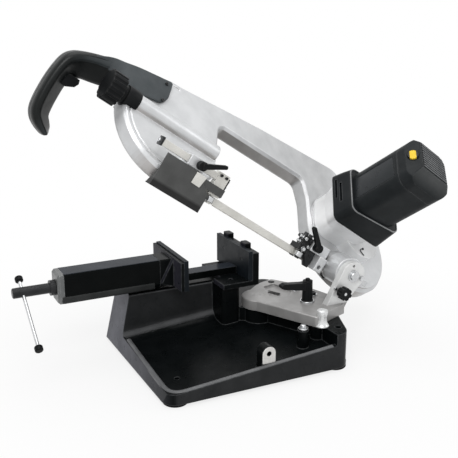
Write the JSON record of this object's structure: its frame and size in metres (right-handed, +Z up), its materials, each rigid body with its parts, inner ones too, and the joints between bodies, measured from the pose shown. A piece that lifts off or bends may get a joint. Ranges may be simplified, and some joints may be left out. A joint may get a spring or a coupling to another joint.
{
  "type": "metal cutting band saw",
  "caption": "Bench band saw for metal: a tilted bow with a looped band over two wheels, hinged on a swivelling arm above a cast base with a screw vise.",
  "frame": {"origin": "middle of the rectangle of bench bolt holes, at the level the feet stand on", "axes": "+X along the vise towards the hinge end, +Y towards the back, +Z up"},
  "size_m": [0.7528, 0.34, 0.5397],
  "materials": {
    "casting_black": "gloss",
    "steel_black": "gloss",
    "foot_rubber": "matte",
    "jaw_slate": "satin",
    "bright_steel": "satin",
    "dark_steel": "satin",
    "black_knob": "satin",
    "bronze_nut": "satin",
    "arm_grey": "satin",
    "cast_silver": "satin",
    "cover_grey": "satin",
    "band_steel": "satin",
    "guard_grey": "satin",
    "motor_charcoal": "satin",
    "skirt_black": "satin",
    "dial_yellow": "gloss",
    "handle_black": "satin",
    "plate_grey": "matte",
    "core_steel": "matte"
  },
  "bodies": {
    "base": {"base_casting": "casting_black", "rubber_feet": "foot_rubber", "stop_screws": "steel_black", "fixed_jaw": "casting_black", "fixed_jaw_plate": "jaw_slate", "fixed_jaw_screws": "dark_steel", "vise_guide_bar": "bright_steel", "vise_nut": "bronze_nut", "swivel_pin": "bright_steel"},
    "vise_slide": {"vise_tube": "steel_black", "tube_end_cap": "bright_steel", "moving_jaw": "casting_black", "moving_jaw_plate": "jaw_slate", "moving_jaw_screws": "dark_steel"},
    "vise_screw": {"vise_screw": "dark_steel"},
    "tommy": {"tommy_bar": "bright_steel", "tommy_knobs": "black_knob"},
    "swivel_arm": {"swivel_arm": "arm_grey", "hinge_pin": "bright_steel", "hinge_bolt": "bright_steel", "return_spring": "dark_steel"},
    "mitre_lever": {"mitre_lever": "black_knob"},
    "ear_knob": {"ear_knob": "black_knob"},
    "bow": {"bow_frame": "cast_silver", "wheel_cover": "cover_grey", "gear_housing": "cast_silver", "motor_skirt": "skirt_black", "motor_case": "motor_charcoal", "motor_end_cap": "motor_charcoal", "stator": "core_steel", "saw_band": "band_steel", "shaft_bearings": "bright_steel", "motor_bearings": "bright_steel", "handle_front": "handle_black", "handle_rear": "handle_black", "handle_plate": "plate_grey", "casing_screws": "dark_steel", "right_guide_block": "bright_steel"},
    "tension_block": {"tension_block": "dark_steel", "idler_axle": "bright_steel"},
    "tension_knob": {"tension_knob": "black_knob"},
    "idler_wheel": {"idler_wheel": "cast_silver", "idler_bearings": "bright_steel"},
    "drive": {"drive_wheel": "cast_silver", "drive_shaft": "bright_steel", "drive_gear": "dark_steel"},
    "armature": {"armature": "core_steel", "motor_pinion": "dark_steel", "cooling_fan": "skirt_black"},
    "left_guide": {"left_guide_block": "bright_steel", "band_guard": "guard_grey"},
    "left_front_roller": {"left_front_roller": "bright_steel"},
    "left_rear_roller": {"left_rear_roller": "bright_steel"},
    "right_front_roller": {"right_front_roller": "bright_steel"},
    "right_rear_roller": {"right_rear_roller": "bright_steel"},
    "left_clamp_lever": {"left_clamp_lever": "black_knob"},
    "right_clamp_lever": {"right_clamp_lever": "black_knob"},
    "trigger": {"trigger": "handle_black"},
    "speed_dial": {"speed_dial": "dial_yellow"}
  },
  "joints": [
    {"name": "vise_jaw_slide", "type": "slide", "parent": "base", "child": "vise_slide", "axis": [1, 0, 0], "range_m": [0, 0.116]},
    {"name": "vise_screw_turn", "type": "hinge", "parent": "vise_slide", "child": "vise_screw", "pos_m": [-0.3, 0.09, 0.1435], "axis": [1, 0, 0], "range_deg": [0, 10445]},
    {"name": "tommy_bar_slide", "type": "slide", "parent": "vise_screw", "child": "tommy", "axis": [0, 0.8387, 0.5446], "range_m": [-0.013, 0.1]},
    {"name": "mitre_swivel", "type": "hinge", "parent": "base", "child": "swivel_arm", "pos_m": [0.084, 0.03, 0.08], "axis": [0, 0, 1], "range_deg": [0, 45]},
    {"name": "mitre_lever_turn", "type": "hinge", "parent": "swivel_arm", "child": "mitre_lever", "pos_m": [0.147, -0.037, 0.09], "axis": [0, 0, 1], "range_deg": [0, 90]},
    {"name": "ear_knob_turn", "type": "hinge", "parent": "swivel_arm", "child": "ear_knob", "pos_m": [0.194, -0.08, 0.112], "axis": [0, -1, 0], "range_deg": [-90, 90]},
    {"name": "bow_hinge", "type": "hinge", "parent": "swivel_arm", "child": "bow", "pos_m": [0.2204, -0.035, 0.1376], "axis": [0, 1, 0], "range_deg": [-24, 0], "stiffness_Nm_per_rad": 19.88, "springref_deg": 12.19, "deforming": ["return_spring"]},
    {"name": "tension_slide", "type": "slide", "parent": "bow", "child": "tension_block", "axis": [0.8221, 0, -0.5693], "range_m": [0, 0.004]},
    {"name": "tension_knob_turn", "type": "hinge", "parent": "bow", "child": "tension_knob", "pos_m": [-0.15832, 0.04795, 0.46896], "axis": [0.8221, 0, -0.5693], "range_deg": [0, 1445]},
    {"name": "idler_spin", "type": "hinge", "parent": "tension_block", "child": "idler_wheel", "pos_m": [-0.07805, 0.05714, 0.4022], "axis": [0.4025, -0.7071, 0.5813], "continuous": true},
    {"name": "drive_spin", "type": "hinge", "parent": "bow", "child": "drive", "pos_m": [0.28147, 0.05714, 0.15326], "axis": [0.4025, -0.7071, 0.5813], "continuous": true},
    {"name": "armature_spin", "type": "hinge", "parent": "bow", "child": "armature", "pos_m": [0.28588, -0.00622, 0.24516], "axis": [0.4025, -0.7071, 0.5813], "continuous": true},
    {"name": "guide_slide", "type": "slide", "parent": "bow", "child": "left_guide", "axis": [0.8221, 0, -0.5693], "range_m": [0, 0.05]},
    {"name": "left_front_roller_spin", "type": "hinge", "parent": "left_guide", "child": "left_front_roller", "pos_m": [-0.03807, -0.01557, 0.29657], "axis": [0.5693, 0, 0.8221], "continuous": true},
    {"name": "left_rear_roller_spin", "type": "hinge", "parent": "left_guide", "child": "left_rear_roller", "pos_m": [-0.03807, 0.00168, 0.29657], "axis": [0.5693, 0, 0.8221], "continuous": true},
    {"name": "right_front_roller_spin", "type": "hinge", "parent": "bow", "child": "right_front_roller", "pos_m": [0.13869, -0.01557, 0.17418], "axis": [0.5693, 0, 0.8221], "continuous": true},
    {"name": "right_rear_roller_spin", "type": "hinge", "parent": "bow", "child": "right_rear_roller", "pos_m": [0.13869, 0.00168, 0.17418], "axis": [0.5693, 0, 0.8221], "continuous": true},
    {"name": "left_clamp_turn", "type": "hinge", "parent": "bow", "child": "left_clamp_lever", "pos_m": [-0.05783, -0.03, 0.35762], "axis": [0, -1, 0], "range_deg": [-40, 40]},
    {"name": "right_clamp_turn", "type": "hinge", "parent": "bow", "child": "right_clamp_lever", "pos_m": [0.17019, -0.03, 0.18453], "axis": [0, -1, 0], "range_deg": [-40, 40]},
    {"name": "trigger_press", "type": "slide", "parent": "bow", "child": "trigger", "axis": [-0.8221, 0, 0.5693], "range_m": [0, 0.004], "stiffness_N_per_m": 600, "springref_m": -0.004},
    {"name": "speed_dial_turn", "type": "hinge", "parent": "bow", "child": "speed_dial", "pos_m": [0.31455, -0.10344, 0.35561], "axis": [-0.4128, -0.4266, 0.8047], "range_deg": [0, 270]}
  ],
  "couplings": [
    {"joint": "vise_screw_turn", "follows": "vise_jaw_slide", "rad_per_m": 1570.8},
    {"joint": "tension_knob_turn", "follows": "tension_slide", "rad_per_m": 6283.2},
    {"joint": "idler_spin", "follows": "drive_spin", "ratio": 1},
    {"joint": "armature_spin", "follows": "drive_spin", "ratio": -5},
    {"joint": "left_front_roller_spin", "follows": "drive_spin", "ratio": -11.25},
    {"joint": "left_rear_roller_spin", "follows": "drive_spin", "ratio": 11.25},
    {"joint": "right_front_roller_spin", "follows": "drive_spin", "ratio": -11.25},
    {"joint": "right_rear_roller_spin", "follows": "drive_spin", "ratio": 11.25}
  ]
}
